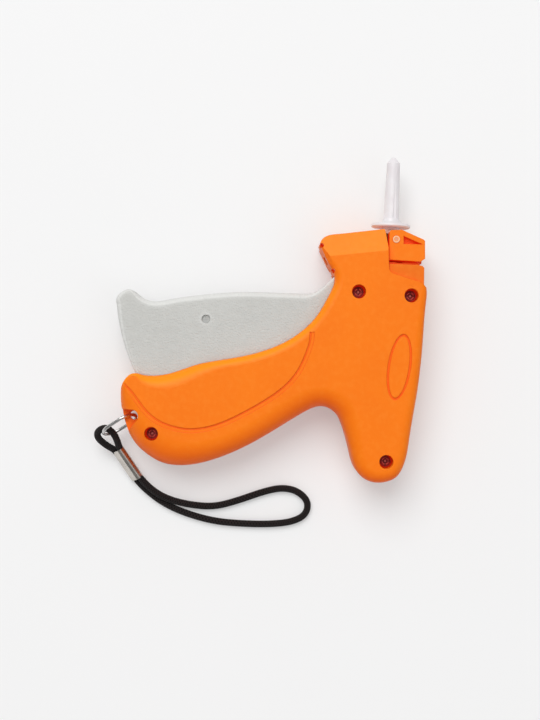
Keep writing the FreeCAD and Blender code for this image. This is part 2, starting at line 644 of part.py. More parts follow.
# The trigger: a hollow grey lever with two ears on its pivot and a cam slot inside.
FINGER_SHARES = [
    (-0.4974, 0.0120), (-0.4967, 0.0330), (-0.4882, 0.0440), (-0.4730, 0.0538), (-0.4545, 0.0576),
    (-0.4408, 0.0504), (-0.4242, 0.0388), (-0.4013, 0.0290), (-0.3752, 0.0254), (-0.3235, 0.0338),
    (-0.2202, 0.0520), (-0.1035, 0.0650), (0.0267, 0.0680), (0.0919, 0.0684), (0.1308, 0.0722),
    (0.1500, 0.0811), (0.1751, 0.1006), (0.1968, 0.1231)]
FINGER_COUNT = 60
FINGER_ROUND_SHARES = {0: 1.0, 2: 0.7, 4: 0.4, 6: 0.7, 9: 1.0, 13: 1.0, 15: 0.5, 17: 0.3}


def trigger_lower_edge():
    """The trigger's hidden edge, just inside the grip, from the throat to the free end."""
    result = []
    for point in plan(TRIGGER_SIDE_SHARES[1:]):
        arm = point - pivot
        result.append(turned(point, pivot, math.degrees(1.8 * mm("trigger_wall") / arm.Length)))
    last = result[-1] - pivot
    result[-1] = pivot + last * (mm("trigger_free_radius") / last.Length)
    return result


def trigger_shape():
    """The trigger as one hollow solid."""
    low, high = mm("trigger_low"), mm("trigger_high")
    wall = mm("trigger_wall")
    finger = smooth(FINGER_SHARES, FINGER_COUNT)
    curve = Part.BSplineCurve()
    curve.interpolate(plan(FINGER_SHARES))
    corners = plan(FINGER_SHARES)
    lower = trigger_lower_edge()
    mid_arm = (lower[-1] - pivot + corners[0] - pivot).normalize()
    arc = Part.Arc(lower[-1], pivot + mid_arm * mm("trigger_free_radius"), corners[0])
    edges = pieces_between(curve, [corners[index] for index in sorted(FINGER_ROUND_SHARES)])
    edges += [Part.makeLine(corners[-1], pivot), Part.makeLine(pivot, lower[0])]
    edges += [Part.makeLine(a, b) for a, b in zip(lower, lower[1:])] + [arc.toShape()]
    face = Part.Face(Part.Wire(edges))
    face.translate(V(0, 0, low))
    slab = solid("trigger_slab", face.extrude(V(0, 0, high - low)))
    ends = [(corners[index], share) for index, share in FINGER_ROUND_SHARES.items()]
    ends.append((lower[-1], FINGER_ROUND_SHARES[17]))
    body = rimmed("trigger_form", slab, ends, mm("trigger_round"), [low, high])
    inner = beside(finger, -wall) + [pivot]
    inner += [turned(point, pivot, math.degrees(3 * wall / (point - pivot).Length)) for point in lower]
    inner = [point if (point - pivot).Length < mm("trigger_free_radius") - wall
             else pivot + (point - pivot).normalize() * (mm("trigger_free_radius") - wall)
             for point in inner]
    body = body.cut(prism(inner, low + wall, high - wall))
    hub = Part.makeCylinder(mm("trigger_hub_radius"), high - low, V(pivot.x, pivot.y, low))
    body = body.fuse(hub)
    margin = 2.6 * mm("cam_pin_radius")
    path = cam_pin_path()
    cheek = track(path, margin, low, low + mm("trigger_cheek"))
    other = track(path, margin, high - mm("trigger_cheek"), high)
    body = body.multiFuse([cheek, other])
    slot_wall = mm("trigger_cheek") / 2
    slot = track(path, mm("cam_pin_radius") + mm("fit_gap"), low + slot_wall, high - slot_wall)
    ears = mm("trigger_ear")
    between = Part.makeCylinder(1.3 * mm("trigger_hub_radius"), high - low - 2 * ears,
                                V(pivot.x, pivot.y, low + ears))
    hole = Part.makeCylinder(mm("pivot_pin_radius") + mm("shaft_gap"), 2 * high, V(pivot.x, pivot.y, 0))
    mark = Part.makeCylinder(mm("mark_radius"), mm("mark_depth"),
                             V(mm("mark_x"), mm("mark_y"), high - mm("mark_depth")))
    return body.cut([slot, between, hole, mark]).removeSplitter()


node("trigger", solid("trigger_solid", trigger_shape()))
node("trigger_pivot_pin", rod("trigger_pin", "pivot_pin_radius", "thickness - 2 * pin_seat",
                              "trigger_pivot_x", "trigger_pivot_y", "pin_seat"))


def lever_shape():
    """The drive lever: a bell crank with a cam pin hole and a slot for the slide's pin."""
    low, high = mm("lever_low"), mm("lever_high")
    half = mm("lever_half_width")
    path = slide_pin_path()
    knee = lever_pivot + V(2 * half + half / 2, -mm("shaft_gap"), 0)
    elbow = path[0] + (lever_pivot - path[0]).normalize() * half
    cam = polar(lever_pivot, mm("lever_arm"), mm("lever_arm_angle"))
    arms = [bar(lever_pivot, knee, half, low, high), bar(knee, elbow, half, low, high),
            bar(elbow, path[-1], half, low, high), bar(lever_pivot, cam, 0.9 * half, low, high)]
    hub_low = low - mm("lever_thickness") / 2
    hub_high = high + mm("lever_thickness") / 2
    hub = Part.makeCylinder(mm("lever_hub_radius"), hub_high - hub_low,
                            V(lever_pivot.x, lever_pivot.y, hub_low))
    hook = (knee + elbow) * 0.5
    hook_pin = Part.makeCylinder(mm("spring_post_radius"), mm("lever_thickness") * 1.5,
                                 V(hook.x, hook.y, low - mm("lever_thickness") * 1.5))
    body = arms[0].multiFuse(arms[1:] + [hub, hook_pin])
    slot = track(path, mm("slide_pin_radius") + mm("fit_gap"), low - 1, high + 1)
    bore = Part.makeCylinder(mm("lever_pin_radius") + mm("shaft_gap"), 2 * high, V(lever_pivot.x, lever_pivot.y, 0))
    cam_hole = Part.makeCylinder(mm("cam_pin_radius"), 2 * high, V(cam.x, cam.y, 0))
    return body.cut([slot, bore, cam_hole]).removeSplitter(), cam, hook


lever_solid, cam_place, hook_place = lever_shape()
node("drive_lever", solid("lever_solid", lever_solid))
node("lever_pivot_pin", rod("lever_pin", "lever_pin_radius", "thickness - 2 * pin_seat",
                            "lever_pivot_x", "lever_pivot_y", "pin_seat"))
cam_pin = Part.makeCylinder(mm("cam_pin_radius"), mm("cam_pin_length"),
                            V(cam_place.x, cam_place.y, parting - mm("cam_pin_length") / 2))
node("lever_cam_pin", solid("cam_pin_solid", cam_pin))

# The slide, its cross pin and the rod that pushes the fastener out through the needle.
slide_blank = box("slide_blank", "slide_width", "slide_length", "slide_height",
                  "needle_axis_x - slide_width / 2", "slide_rear_y", "slide_low")
slide_gap = box("slide_gap", "slide_width + 2 * overrun", "slide_length - slide_block + overrun",
                "slide_slot", "needle_axis_x - slide_width / 2 - overrun", "slide_rear_y - overrun",
                "half_thickness - slide_slot / 2")
slide_hole = rod("slide_hole", "slide_pin_radius", "thickness", "needle_axis_x", "slide_pin_y", "0")
rod_hole = rod("rod_hole", "rod_radius", "slide_block + overrun", "needle_axis_x",
               "slide_front_y - slide_block", "half_thickness", "y")
node("ejector_slide", cut("slide_solid", slide_blank, slide_gap, slide_hole, rod_hole))
node("slide_drive_pin", rod("slide_pin_solid", "slide_pin_radius", "slide_height", "needle_axis_x",
                            "slide_pin_y", "slide_low"))
node("ejector_rod", rod("ejector_rod_solid", "rod_radius", "rod_tip_y - slide_front_y + slide_block",
                        "needle_axis_x", "slide_front_y - slide_block", "half_thickness", "y"))
bush_blank = rod("bush_blank", "bush_radius", "bush_length", "needle_axis_x", "bush_y", "half_thickness", "y")
bush_bore = rod("bush_bore", "rod_radius + shaft_gap", "bush_length + 2 * overrun", "needle_axis_x",
                "bush_y - overrun", "half_thickness", "y")
node("rod_guide_bush", cut("bush_solid", bush_blank, bush_bore))
buffer_blank = rod("buffer_blank", "buffer_radius", "buffer_length", "needle_axis_x",
                   "bush_y - buffer_length", "half_thickness", "y")
buffer_bore = rod("buffer_bore", "rod_radius + fit_gap", "buffer_length + 2 * overrun", "needle_axis_x",
                  "bush_y - buffer_length - overrun", "half_thickness", "y")
node("slide_buffer", cut("buffer_solid", buffer_blank, buffer_bore))


def spring_shape():
    """The return spring's coil between the lever's hook and its post in the casing."""
    start = V(mm("spring_anchor_x"), mm("spring_anchor_y"), 0)
    along = (hook_place - start)
    margin = 2 * mm("spring_post_radius") + mm("spring_wire")
    length = along.Length - 2 * margin
    along.normalize()
    helix = Part.makeHelix(length / mm("spring_turns"), length, mm("spring_radius") - mm("spring_wire") / 2)
    begin = V(mm("spring_radius") - mm("spring_wire") / 2, 0, 0)
    profile = Part.Wire([Part.makeCircle(mm("spring_wire") / 2, begin, V(0, 1, 0))])
    coil = Part.Wire(helix.Edges).makePipeShell([profile], True, True)
    coil.Placement = FreeCAD.Placement(
        start + along * margin + V(0, 0, mm("spring_z")), FreeCAD.Rotation(V(0, 0, 1), along))
    return coil


node("return_spring", solid("spring_solid", spring_shape()))


# Needle, hub and cap on the line along +Y.
def needle_shape():
    """A hollow slotted needle with a slanted point."""
    start = mm("hub_y") - mm("rod_radius")
    tip = start + mm("needle_length")
    x, z = needle_x, parting
    tube = Part.makeCylinder(mm("needle_radius"), mm("needle_length"), V(x, start, z), V(0, 1, 0))
    bore = Part.makeCylinder(mm("needle_bore"), 2 * mm("needle_length"),
                             V(x, start - mm("overrun"), z), V(0, 1, 0))
    slot = Part.makeBox(2 * mm("needle_radius"), mm("needle_length") * 2, mm("needle_slot"),
                        V(x, start - mm("overrun"), z - mm("needle_slot") / 2))
    radius = mm("needle_radius") + mm("shaft_gap")
    slant = Part.Face(Part.makePolygon([V(x - radius, tip - mm("needle_point"), 0), V(x + radius, tip, 0),
                                        V(x + radius, tip + radius, 0), V(x - radius, tip + radius, 0),
                                        V(x - radius, tip - mm("needle_point"), 0)]))
    return tube.cut([bore, slot, slant.extrude(V(0, 0, mm("thickness")))])


node("needle", solid("needle_solid", needle_shape()))
hub_blank = box("hub_blank", "hub_width", "hub_length", "hub_height", "needle_axis_x - hub_width / 2",
                "hub_y", "hub_low")
hub_bore = rod("hub_bore", "needle_radius", "hub_length + 2 * overrun", "needle_axis_x",
               "hub_y - overrun", "half_thickness", "y")
node("needle_hub", cut("hub_solid", hub_blank, hub_bore))


def cap_shape():
    """The pale needle cap: a grooved tapering sleeve with a pointed tip on a round flange."""
    seat = mm("cap_seat_y")
    top = seat + mm("cap_length")
    flange = mm("cap_flange_radius")
    rim = seat + mm("cap_flange_rim")
    cone_top = seat + mm("cap_flange_height")
    base, tip = mm("cap_base_radius"), mm("cap_tip_radius")
    collar, foot = mm("cap_collar_radius"), seat - mm("cap_collar")
    outer = [(0, foot), (collar, foot), (collar, seat), (0.94 * flange, seat), (flange, seat + 0.4 * mm("cap_flange_rim")), (0.97 * flange, rim),
             (1.15 * base, cone_top), (base, cone_top + mm("cap_flange_rim")),
             (tip, top - mm("cap_tip_length")), (0.28 * tip, top), (0, top)]
    body = revolve_y(outer, needle_x, parting)
    bore_top = top - 1.6 * mm("cap_tip_length")
    bore = Part.makeCylinder(mm("cap_bore"), bore_top - foot + mm("overrun"),
                             V(needle_x, foot - mm("overrun"), parting), V(0, 1, 0))
    grooves = []
    for quarter in range(4):
        angle = math.radians(mm("cap_groove_angle") + 90 * quarter)
        reach = base + mm("cap_groove")
        centre = V(needle_x + reach * math.cos(angle), cone_top + mm("cap_flange_rim"),
                   parting + reach * math.sin(angle))
        grooves.append(Part.makeCylinder(2 * mm("cap_groove"), mm("cap_length"), centre, V(0, 1, 0)))
    return body.cut([bore] + grooves)


node("needle_cap", solid("cap_solid", cap_shape()))

# Head pieces in the left casing's cut-out.
LATCH_SHARES = [
    (0.3694, 0.1807), (0.4590, 0.1790), (0.4704, 0.1792), (0.4833, 0.1881), (0.4807, 0.2417), (0.4753, 0.2461),
    (0.4123, 0.2696), (0.4060, 0.2722), (0.3716, 0.2700), (0.3673, 0.2656), (0.3662, 0.2598)]
THUMB_SHARES = [(0.4114, 0.2541), (0.4126, 0.2296), (0.4744, 0.2307)]
BLOCK_SHARES = [
    (0.3697, 0.1680), (0.4644, 0.1685), (0.4775, 0.1655), (0.4820, 0.1603), (0.4837, 0.1105), (0.4706, 0.1171),
    (0.4444, 0.1235), (0.4084, 0.1327), (0.3807, 0.1401), (0.3741, 0.1449), (0.3695, 0.1528)]

LEDGE_SHARES = [
    (0.3700, 0.1600), (0.4672, 0.1600), (0.4672, 0.1752), (0.4130, 0.1752), (0.4130, 0.1728), (0.3945, 0.1728),
    (0.3945, 0.1752), (0.3700, 0.1752)]


def latch_shape():
    """The needle latch: a flat swinging cover with a thumb recess and a lower outer step."""
    outline = plan(LATCH_SHARES)
    body = prism(outline, mm("latch_low"), mm("latch_top"))
    inner = Part.makeBox(mm("latch_step_x") - needle_x + 2 * mm("hub_width"), mm("thickness"),
                         mm("latch_seat") - mm("latch_low") + mm("overrun"),
                         V(needle_x - 2 * mm("hub_width"), mm("latch_foot_y") - mm("overrun"),
                           mm("latch_low") - mm("overrun")))
    thumb = prism(plan(THUMB_SHARES), mm("latch_top") - mm("thumb_recess_depth"), mm("thickness"))
    hole = Part.makeCylinder(mm("latch_pin_radius") + mm("shaft_gap"), mm("thickness"),
                             V(mm("latch_pin_x"), mm("latch_pin_y"), mm("latch_low")))
    return body.cut([inner, thumb, hole])


node("needle_latch", solid("latch_solid", latch_shape()))
bracket_blank = box("bracket_blank", "bracket_length", "2 * wall", "bracket_thickness",
                    "head_floor_x - 3 * wall", "hub_y - wall", "hub_high")
node("latch_pin", rod("latch_pin_solid", "latch_pin_radius", "latch_top - hub_high + fit_gap",
                      "latch_pin_x", "latch_pin_y", "hub_high"))
bracket_hole = rod("bracket_hole", "latch_pin_radius", "wall", "latch_pin_x", "latch_pin_y", "hub_high - wall / 4")
node("latch_bracket", cut("bracket_solid", bracket_blank, bracket_hole))


def block_shape():
    """The fixed feed block that leads the clip of fasteners into the slot."""
    body = prism(plan(BLOCK_SHARES), parting, mm("block_top"))
    ledge_top = mm("block_top") - mm("ledge_drop")
    ledge = prism(plan(LEDGE_SHARES), ledge_top - mm("ledge_drop"), ledge_top)
    groove = Part.makeCylinder(mm("rod_radius") * 2, mm("thickness"), V(needle_x, 0, parting), V(0, 1, 0))
    return body.fuse(ledge).cut(groove)


node("feed_block", solid("block_solid", block_shape()))
TOOTH_COUNT = 12


def wheel_shape():
    """The feed wheel with its round of teeth, turning on a line along +Y."""
    axis = V(mm("wheel_x"), mm("wheel_y"), mm("wheel_axis_z"))
    root, tip = mm("wheel_radius"), mm("wheel_radius") + mm("wheel_tooth")
    ring = []
    for tooth in range(TOOTH_COUNT):
        pitch = 360 / TOOTH_COUNT
        for radius, share in ((root, 0.0), (root, 0.36), (tip, 0.52), (tip, 0.72)):
            angle = math.radians(pitch * (tooth + share))
            ring.append(axis + V(radius * math.cos(angle), 0, radius * math.sin(angle)))
    face = Part.Face(Part.makePolygon(ring + ring[:1]))
    body = face.extrude(V(0, mm("wheel_width"), 0))
    bore = Part.makeCylinder(mm("wheel_shaft_radius") + mm("shaft_gap"), 3 * mm("wheel_width"),
                             axis - V(0, mm("wheel_width"), 0), V(0, 1, 0))
    return body.cut(bore)


node("feed_wheel", solid("wheel_solid", wheel_shape()))
node("feed_wheel_shaft", rod("wheel_shaft", "wheel_shaft_radius", "wheel_shaft_length", "wheel_x", "shaft_y",
                             "wheel_axis_z", "y"))


def pawl_shape():
    """The feed pawl: a thin lever whose claw reaches under the feed wheel."""
    centre = V(mm("pawl_pivot_x"), mm("pawl_pivot_y"), 0)
    half = mm("pawl_width") / 2
    low, high = mm("pawl_z"), mm("pawl_z") + mm("pawl_thickness")
    tip = centre + V(half, mm("pawl_reach"), 0)
    body = bar(centre - V(0, mm("pawl_tail"), 0), tip, half, low, high)
    bore = Part.makeCylinder(mm("pawl_pin_radius") + mm("shaft_gap"), 2 * high, V(centre.x, centre.y, 0))
    return body.cut(bore)


node("feed_pawl", solid("pawl_solid", pawl_shape()))
node("pawl_pivot_pin", rod("pawl_pin", "pawl_pin_radius", "pawl_z + pawl_thickness + fit_gap - wall / 2",
                           "pawl_pivot_x", "pawl_pivot_y", "wall / 2"))
node("wheel_brake_spring", box("brake_leaf", "detent_thickness", "wheel_width - 2 * fit_gap",
                               "wheel_axis_z - wall - fit_gap", "wheel_x + wheel_reach - detent_thickness",
                               "wheel_y + fit_gap", "wall"))
node("cutter_blade", box("blade", "latch_step_x - needle_axis_x - hub_width / 2 - 2 * fit_gap", "blade_thickness", "hub_height / 2 - 2 * fit_gap",
                         "needle_axis_x + hub_width / 2 + fit_gap", "hub_y",
                         "half_thickness"))
guide_blank = box("guide_blank", "head_floor_x - guide_x - wall", "guide_width", "guide_height",
                  "guide_x", "clip_y - guide_width / 2", "half_thickness - guide_height / 2")
guide_gap = box("guide_gap", "plan_width / 2", "guide_width - 2 * guide_wall", "guide_height",
                "guide_x - overrun", "clip_y - guide_width / 2 + guide_wall",
                "half_thickness - guide_height / 2 + guide_wall")
node("clip_exit_guide", cut("guide_solid", guide_blank, guide_gap))


# The lanyard: a wire ring in the eye, a crimped ferrule and the strap's cord.
def ring_frame():
    """The ring's inner end, its long direction and its upright direction."""
    turn, drop, roll = (math.radians(mm(name)) for name in ("ring_turn", "ring_drop", "ring_roll"))
    out = V(math.cos(turn), math.sin(turn), 0)
    side = V(-out.y, out.x, 0)
    long_way = V(out.x * math.cos(drop), out.y * math.cos(drop), -math.sin(drop))
    upright = V(out.x * math.sin(drop), out.y * math.sin(drop), math.cos(drop))
    upright = upright * math.cos(roll) - side * math.sin(roll)
    return spot("eye") + V(0, 0, parting), long_way, upright


def ring_shape():
    """The ring's round wire along an oval of two half circles and two straights."""
    start, long_way, upright = ring_frame()
    half = mm("ring_half_width")
    near, far = start + long_way * half, start + long_way * (half + mm("ring_straight"))
    path = Part.Wire([
        Part.Arc(near - upright * half, start, near + upright * half).toShape(),
        Part.makeLine(near + upright * half, far + upright * half),
        Part.Arc(far + upright * half, far + long_way * half, far - upright * half).toShape(),
        Part.makeLine(far - upright * half, near - upright * half)])
    profile = Part.Wire([Part.makeCircle(mm("ring_wire_radius"), near + upright * half, long_way)])
    pieces = []
    for edge in path.Edges:
        first = edge.valueAt(edge.FirstParameter)
        section = Part.Wire([Part.makeCircle(mm("ring_wire_radius"), first, edge.tangentAt(edge.FirstParameter))])
        pieces.append(Part.Wire([edge]).makePipeShell([section], True, True))
    return pieces[0].multiFuse(pieces[1:])


node("lanyard_ring", solid("ring_solid", ring_shape()))

# The cord's route, chosen by hand: up one side of the ferrule, round the ring, back down and
# out along the big loop to the ferrule again.
CORD_ROUTE = [
    (-59.2, -65.7, 3.4), (-63.0, -60.4, 4.6), (-67.3, -58.2, 6.4), (-70.9, -55.0, 8.8), (-70.9, -52.1, 10.2),
    (-67.6, -50.2, 10.5), (-64.5, -52.1, 10.1), (-62.7, -55.2, 9.0), (-61.6, -59.3, 7.0),
    (-56.9, -65.5, 5.8), (-52.9, -71.2, 4.3), (-47.3, -76.5, 4.4), (-40.2, -80.2, 3.9), (-30.5, -82.4, 1.6),
    (-20.5, -82.7, 1.6), (-10.8, -79.7, 1.6), (0.8, -75.0, 1.6), (8.2, -73.2, 1.6), (14.8, -74.2, 1.6),
    (19.8, -78.6, 1.6), (18.9, -84.4, 1.6), (13.0, -87.7, 1.6), (3.6, -89.1, 1.6), (-8.2, -89.4, 1.6),
    (-20.4, -88.9, 1.6), (-32.8, -86.0, 1.6), (-42.2, -82.2, 1.6), (-50.0, -76.8, 1.6), (-54.8, -72.0, 2.0),
    (-58.1, -67.3, 3.0)]


def cord_shape():
    """The cord as straight runs joined by tangent arcs."""
    points = [V(*point) for point in CORD_ROUTE]
    radius = mm("cord_diameter") / 2
    edges = []
    at = points[0]
    radii = []
    for before, corner, after in zip(points, points[1:], points[2:]):
        back = (before - corner)
        ahead = (after - corner)
        shorter = min(back.Length, ahead.Length)
        back.normalize()
        ahead.normalize()
        half_turn = (math.pi - back.getAngle(ahead)) / 2
        tangent = 0.45 * shorter
        bend = tangent / math.tan(half_turn)
        radii.append(round(bend, 1))
        enter, leave = corner + back * tangent, corner + ahead * tangent
        towards = (back + ahead).normalize()
        middle = corner + towards * (bend / math.cos(half_turn) - bend)
        edges.append(Part.makeLine(at, enter))
        edges.append(Part.Arc(enter, middle, leave).toShape())
        at = leave
    edges.append(Part.makeLine(at, points[-1]))
    path = Part.Wire(edges)
    profile = Part.Wire([Part.makeCircle(radius, points[0], points[1] - points[0])])
    tube = path.makePipeShell([profile], True, True)
    print("cord bends", radii)
    print("cord length %.1f, tube volume %.1f against %.1f" % (
        path.Length, tube.Volume, path.Length * math.pi * radius * radius))
    return tube


node("strap_cord", solid("cord_solid", cord_shape()))


def ferrule_shape():
    """The crimped sleeve that holds the cord's two strands."""
    low, high = V(*CORD_ROUTE[10]), V(*CORD_ROUTE[8])
    far_low, far_high = V(*CORD_ROUTE[28]), V(*CORD_ROUTE[1])
    start, end = (low + far_low) * 0.5, (high + far_high) * 0.5
    along = (end - start).normalize()
    across = (high - far_high)
    across = (across - along * across.dot(along)).normalize()
    middle = (start + end) * 0.5
    length, width, height = mm("ferrule_length"), mm("ferrule_width"), mm("ferrule_height")
    body = Part.makeBox(length, width, height, V(-length / 2, -width / 2, -height / 2))
    body = body.makeFillet(0.42 * height, [edge for edge in body.Edges if edge.Length > 0.9 * length])
    normal = along.cross(across)
    turn = FreeCAD.Rotation(along, across, normal, "XYZ")
    body.Placement = FreeCAD.Placement(middle, turn)
    return body


node("strap_ferrule", solid("ferrule_solid", ferrule_shape()))

doc.recompute()
for thing in doc.Objects:
    if "Invalid" in thing.State or "Error" in thing.State:
        raise RuntimeError("%s did not build" % thing.Label)
os.makedirs("parts", exist_ok=True)
for label, thing in NODES:
    shape = thing.Shape
    if shape.isNull() or not shape.isValid():
        raise RuntimeError("%s is not a valid solid" % label)
for label, thing in NODES:
    thing.Shape.exportStep("parts/%s.step" % label)
    box_of = thing.Shape.BoundBox
    print("%-20s %d %9.1f  x %.1f..%.1f y %.1f..%.1f z %.1f..%.1f" % (
        label, len(thing.Shape.Solids), thing.Shape.Volume, box_of.XMin, box_of.XMax, box_of.YMin,
        box_of.YMax, box_of.ZMin, box_of.ZMax))
print("lever swing %.3f" % LEVER_SWING)
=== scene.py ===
import math

import bpy
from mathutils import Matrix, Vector


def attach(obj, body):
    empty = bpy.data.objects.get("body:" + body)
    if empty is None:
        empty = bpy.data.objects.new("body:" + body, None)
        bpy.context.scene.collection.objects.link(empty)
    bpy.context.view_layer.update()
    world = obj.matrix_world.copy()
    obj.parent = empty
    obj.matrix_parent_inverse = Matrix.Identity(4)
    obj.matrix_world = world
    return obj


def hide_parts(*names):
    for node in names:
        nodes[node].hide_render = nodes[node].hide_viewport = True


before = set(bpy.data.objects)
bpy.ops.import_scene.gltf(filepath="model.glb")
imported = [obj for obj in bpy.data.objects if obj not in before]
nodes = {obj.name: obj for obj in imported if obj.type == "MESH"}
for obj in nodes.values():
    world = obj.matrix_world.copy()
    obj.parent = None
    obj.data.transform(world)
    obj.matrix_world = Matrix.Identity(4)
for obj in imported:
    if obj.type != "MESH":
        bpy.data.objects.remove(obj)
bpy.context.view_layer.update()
scene = bpy.context.scene

MM = 0.001

# Texture sizes: noise in waves per metre, edges and hollows in metres
DRIFT_WAVES = 38.0
CLOUD_WAVES = 120.0
TARNISH_WAVES = 160.0
CAP_GLOSS_WAVES = 300.0
SPOT_WAVES = 420.0
SPECK_WAVES = 500.0
SCREW_WAVES = 700.0
GLOSS_WAVES = 900.0
FINE_WAVES = 1500.0
FIBRE_WAVES = 6000.0
HIGHLIGHT_EDGE = 0.7 * MM
SOFT_EDGE = 0.35 * MM
BROAD_EDGE = 3.2 * MM
HOLLOW_REACH = 3.0 * MM
EDGE_SAMPLES = 4
HOLLOW_SAMPLES = 8

# Ranges that a texture or a shading value is stretched from
DRIFT_RANGE = (0.35, 0.65)
MIDDLE_RANGE = (0.3, 0.7)
SPOT_RANGE = (0.45, 0.8)
TARNISH_RANGE = (0.3, 0.8)
EDGE_RANGE = (0.995, 0.75)
BROAD_EDGE_RANGE = (0.985, 0.90)
STEEP_RANGE = (0.985, 0.90)
LIT_RANGE = (0.03, 0.5)
SHADED_RANGE = (-0.1, -0.8)
GROOVE_SKY_RANGE = (0.97, 0.72)
RECESS_SKY_RANGE = (0.62, 0.02)

# How much of a second colour is mixed in
SPOT_SHARE = 0.18
LIT_SHARE = 0.85
SHADED_SHARE = 0.6
GROOVE_SHARE = 0.42
GROOVE_GLOW_SHARE = 0.15
RECESS_SHARE = 0.9
STEEP_SHARE = 0.75
MARK_SHARE = 0.9
TARNISH_SHARE = 0.72
FIBRE_SHARE = 0.5

# Places on the tool that a material colours, in millimetres, as in the CAD
MARK_PLACE = (-26.70, -3.03)
MARK_RADIUS = 1.8
MARK_RIM = 0.08
MARK_SOFT = 0.06
SCREW_PLACES = [(-46.88, -51.33), (35.74, 10.96), (57.35, 10.30), (50.11, -58.43)]
PIN_PLACE = (50.2, 33.19)


class Shader:
    """A short way to write a node material."""

    def __init__(self, name):
        self.mat = bpy.data.materials.new(name)
        self.mat.use_nodes = True
        self.tree = self.mat.node_tree
        self.bsdf = self.tree.nodes["Principled BSDF"]

    def node(self, kind, **inputs):
        """Adds a node; attributes and inputs are both given by name."""
        made = self.tree.nodes.new("ShaderNode" + kind)
        for key, value in inputs.items():
            key = key.replace("__", " ")
            if key in made.inputs:
                self.feed(made.inputs[key], value)
            else:
                setattr(made, key, value)
        return made

    def feed(self, socket, value):
        """Links an output to a socket, or writes a plain value into it."""
        if hasattr(value, "links"):
            self.tree.links.new(value, socket)
        else:
            socket.default_value = value

    def set(self, **inputs):
        """Feeds the main shader; two underscores stand for a blank."""
        for key, value in inputs.items():
            self.feed(self.bsdf.inputs[key.replace("__", " ")], value)

    def base(self):
        """What is linked to the base colour so far."""
        return self.bsdf.inputs["Base Color"].links[0].from_socket

    def math(self, operation, a, b=None):
        made = self.node("Math", operation=operation)
        self.feed(made.inputs[0], a)
        if b is not None:
            self.feed(made.inputs[1], b)
        return made.outputs[0]

    def mix(self, factor, a, b):
        made = self.node("Mix", data_type="RGBA")
        self.feed(made.inputs[0], factor)
        self.feed(made.inputs[6], a)
        self.feed(made.inputs[7], b)
        return made.outputs[2]

    def blend(self, mask, share, under, over):
        """Mixes a share of one colour over another where the mask is 1."""
        return self.mix(self.math("MULTIPLY", mask, share), under, over)

    def ramp(self, value, low, high, to_low=0.0, to_high=1.0):
        """Stretches a value from one range to another."""
        made = self.node("MapRange")
        self.feed(made.inputs[0], value)
        for socket, number in zip(made.inputs[1:5], (low, high, to_low, to_high)):
            socket.default_value = number
        return made.outputs[0]

    def place(self):
        return self.node("TexCoord").outputs["Object"]

    def facing(self):
        """The three parts of the surface's direction."""
        parts = self.node("SeparateXYZ")
        self.feed(parts.inputs[0], self.node("NewGeometry").outputs["Normal"])
        return parts.outputs

    def noise(self, waves, detail=2.0, roughness=0.5, vector=None):
        made = self.node("TexNoise", Vector=vector or self.place(), Scale=waves, Detail=detail,
                         Roughness=roughness)
        return made.outputs[0]

    def bump(self, height, distance, strength=1.0, normal=None):
        made = self.node("Bump", Height=height, Distance=distance, Strength=strength)
        if normal is not None:
            self.feed(made.inputs["Normal"], normal)
        return made.outputs[0]

    def edge(self, radius, sharp_range=EDGE_RANGE):
        """Near 1 on sharp edges, from the difference between a rounded and a plain normal."""
        bevel = self.node("Bevel", samples=EDGE_SAMPLES, Radius=radius)
        dot = self.node("VectorMath", operation="DOT_PRODUCT")
        self.feed(dot.inputs[0], bevel.outputs[0])
        self.feed(dot.inputs[1], self.node("NewGeometry").outputs["Normal"])
        return self.ramp(dot.outputs["Value"], *sharp_range)

    def hollow(self, sky_range):
        """From 0 to 1 as the surface sees less of the sky near it."""
        made = self.node("AmbientOcclusion", samples=HOLLOW_SAMPLES, Distance=HOLLOW_REACH)
        return self.ramp(made.outputs["AO"], *sky_range)

    def reach(self, centre):
        """Distance from an upright line through a point, in millimetres."""
        parts = self.node("SeparateXYZ")
        self.feed(parts.inputs[0], self.place())
        across = self.math("SUBTRACT", parts.outputs[0], centre[0] * MM)
        up = self.math("SUBTRACT", parts.outputs[1], centre[1] * MM)
        square = self.math("ADD", self.math("MULTIPLY", across, across), self.math("MULTIPLY", up, up))
        return self.math("DIVIDE", self.math("SQRT", square), MM)

    def band(self, value, low, high, soft):
        """Near 1 between two values, with soft ends."""
        rise = self.ramp(value, low - soft, low + soft)
        fall = self.ramp(value, high + soft, high - soft)
        return self.math("MULTIPLY", rise, fall)

    def disc(self, value, high, soft):
        """Near 1 inside a radius."""
        return self.band(value, -1.0, high, soft)


def linear(red, green, blue, alpha=1.0):
    """Linear colour from 0-255 screen values."""
    def one(value):
        value /= 255
        return value / 12.92 if value <= 0.04045 else ((value + 0.055) / 1.055) ** 2.4
    return (one(red), one(green), one(blue), alpha)


# Kinds of material

